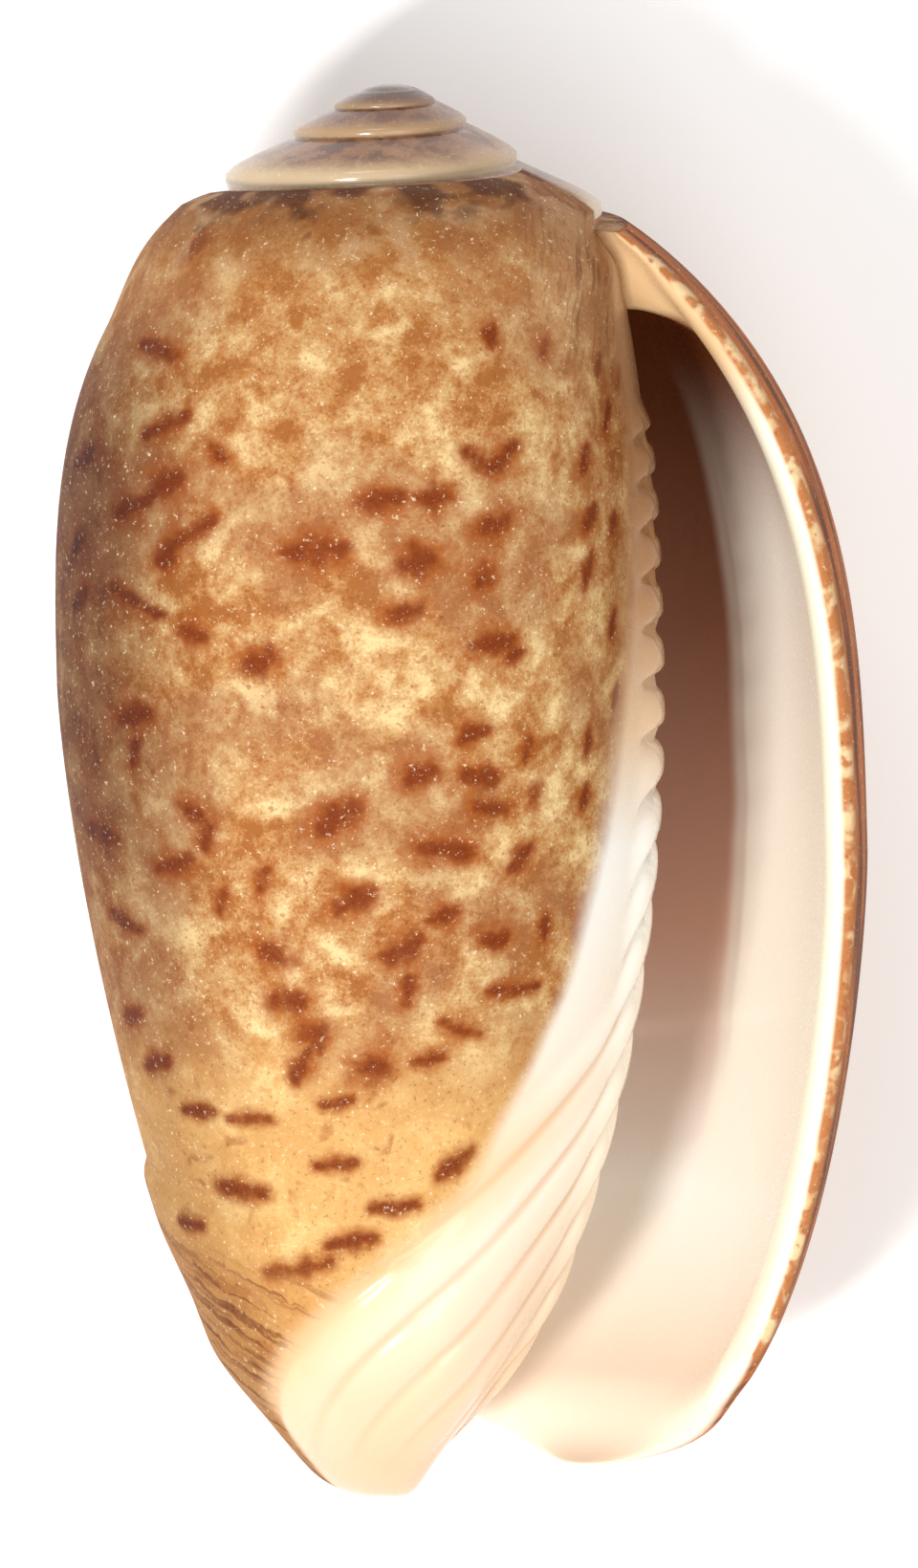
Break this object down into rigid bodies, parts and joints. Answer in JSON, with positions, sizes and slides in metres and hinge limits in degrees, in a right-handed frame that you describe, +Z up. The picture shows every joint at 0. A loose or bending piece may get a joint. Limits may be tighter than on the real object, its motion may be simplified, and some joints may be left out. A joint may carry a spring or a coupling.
{
  "type": "olive shell",
  "caption": "Olive shell lying on its back with the long aperture up: short spire, ridged inner lip, notched front end.",
  "frame": {"origin": "on the small flat spot that the shell rests on, under the axis of the coil", "axes": "+Z up through the aperture, +Y along the coil to the spire, +X towards the outer lip"},
  "size_m": [0.0285, 0.0502, 0.0246],
  "materials": {
    "shell": "gloss"
  },
  "bodies": {
    "root": {"shell": "shell"}
  },
  "joints": []
}
